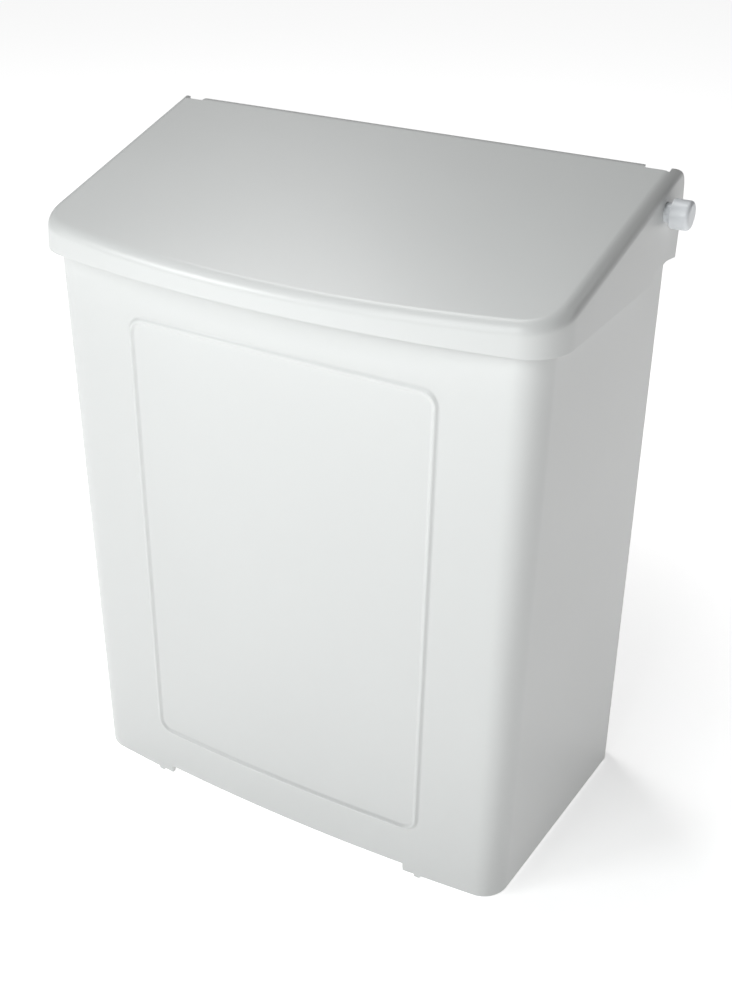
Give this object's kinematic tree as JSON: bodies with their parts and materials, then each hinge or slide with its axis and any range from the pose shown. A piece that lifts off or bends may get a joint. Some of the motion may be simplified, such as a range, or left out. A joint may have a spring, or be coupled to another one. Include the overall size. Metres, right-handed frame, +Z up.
{
  "type": "dog waste bin",
  "caption": "Wall-mounted plastic waste bin: tapered bow-fronted casing, sloping lid hinged at the back on a rod, lift-out liner bucket with bag ring.",
  "frame": {"origin": "middle of the four wall screw holes, in the plane of the wall", "axes": "+Z up, +Y towards the wall, +X to the right as seen from the front"},
  "size_m": [0.2624, 0.1375, 0.32],
  "materials": {
    "casing_plastic": "satin white moulded plastic",
    "lid_plastic": "satin white moulded plastic with a fine grain",
    "rod_plastic": "smooth bluish-white plastic",
    "spring_steel": "plain spring steel",
    "back_plastic": "matt off-white plastic",
    "zinc_steel": "zinc-plated steel",
    "liner_plastic": "matt grey plastic",
    "ring_plastic": "matt light grey plastic"
  },
  "bodies": {
    "bin": {"body_shell": "casing_plastic", "hinge_rod": "rod_plastic", "hinge_rod_washer": "spring_steel", "back_plate": "back_plastic", "back_plate_screws": "zinc_steel", "floor_panel": "back_plastic", "liner_bucket": "liner_plastic", "bag_ring": "ring_plastic"},
    "lid": {"lid": "lid_plastic"}
  },
  "joints": [
    {"name": "lid_hinge", "type": "hinge", "parent": "bin", "child": "lid", "pos_m": [0, -0.0225, 0.1592], "axis": [-1, 0, 0], "range_deg": [0, 105]}
  ]
}
